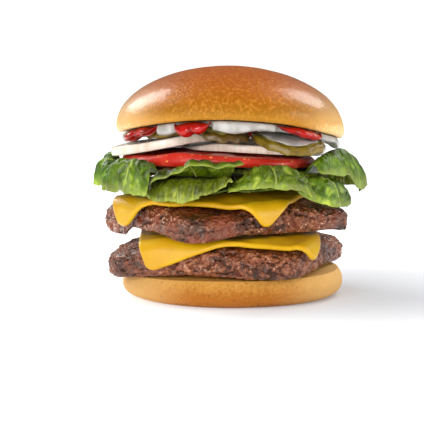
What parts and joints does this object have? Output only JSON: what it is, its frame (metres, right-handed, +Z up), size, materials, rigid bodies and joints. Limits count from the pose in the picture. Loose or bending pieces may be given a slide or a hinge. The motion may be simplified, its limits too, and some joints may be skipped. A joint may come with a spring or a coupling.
{
  "type": "double cheeseburger",
  "caption": "Double cheeseburger with two square beef patties, cheese, lettuce, tomato, onion, pickles and sauces in a round bun, standing on its flat heel.",
  "frame": {"origin": "centre of the flat underside of the heel bun", "axes": "+Z up through the stack, -Y towards the front of the burger, +X to its right"},
  "size_m": [0.1257, 0.1168, 0.1044],
  "materials": {
    "bun_crust": "baked golden-brown crust, softly glossy",
    "bun_heel": "golden bread, matte with small pores",
    "beef": "browned minced beef, craggy and moist",
    "cheese": "melted processed cheese, smooth satin",
    "lettuce": "crisp waxy leaf with pale ribs",
    "tomato": "wet cut tomato with glossy skin",
    "onion": "translucent white onion, moist",
    "pickle": "olive-green crinkle-cut pickle, wet",
    "mayonnaise": "creamy white sauce",
    "ketchup": "glossy red sauce"
  },
  "bodies": {
    "root": {"heel_bun": "bun_heel", "patty_lower": "beef", "cheese_lower": "cheese", "patty_upper": "beef", "cheese_upper": "cheese", "lettuce_bed": "lettuce", "lettuce_left": "lettuce", "lettuce_front_left": "lettuce", "lettuce_fold": "lettuce", "lettuce_front": "lettuce", "lettuce_front_right": "lettuce", "lettuce_right_front": "lettuce", "lettuce_right": "lettuce", "lettuce_back_right": "lettuce", "lettuce_back": "lettuce", "lettuce_back_left": "lettuce", "tomato": "tomato", "onion_right": "onion", "onion_left": "onion", "pickle_left": "pickle", "pickle_middle": "pickle", "pickle_right": "pickle", "mayonnaise": "mayonnaise", "ketchup_left": "ketchup", "ketchup_middle": "ketchup", "ketchup_right": "ketchup", "ketchup_back": "ketchup", "crown_bun": "bun_crust"}
  },
  "joints": []
}
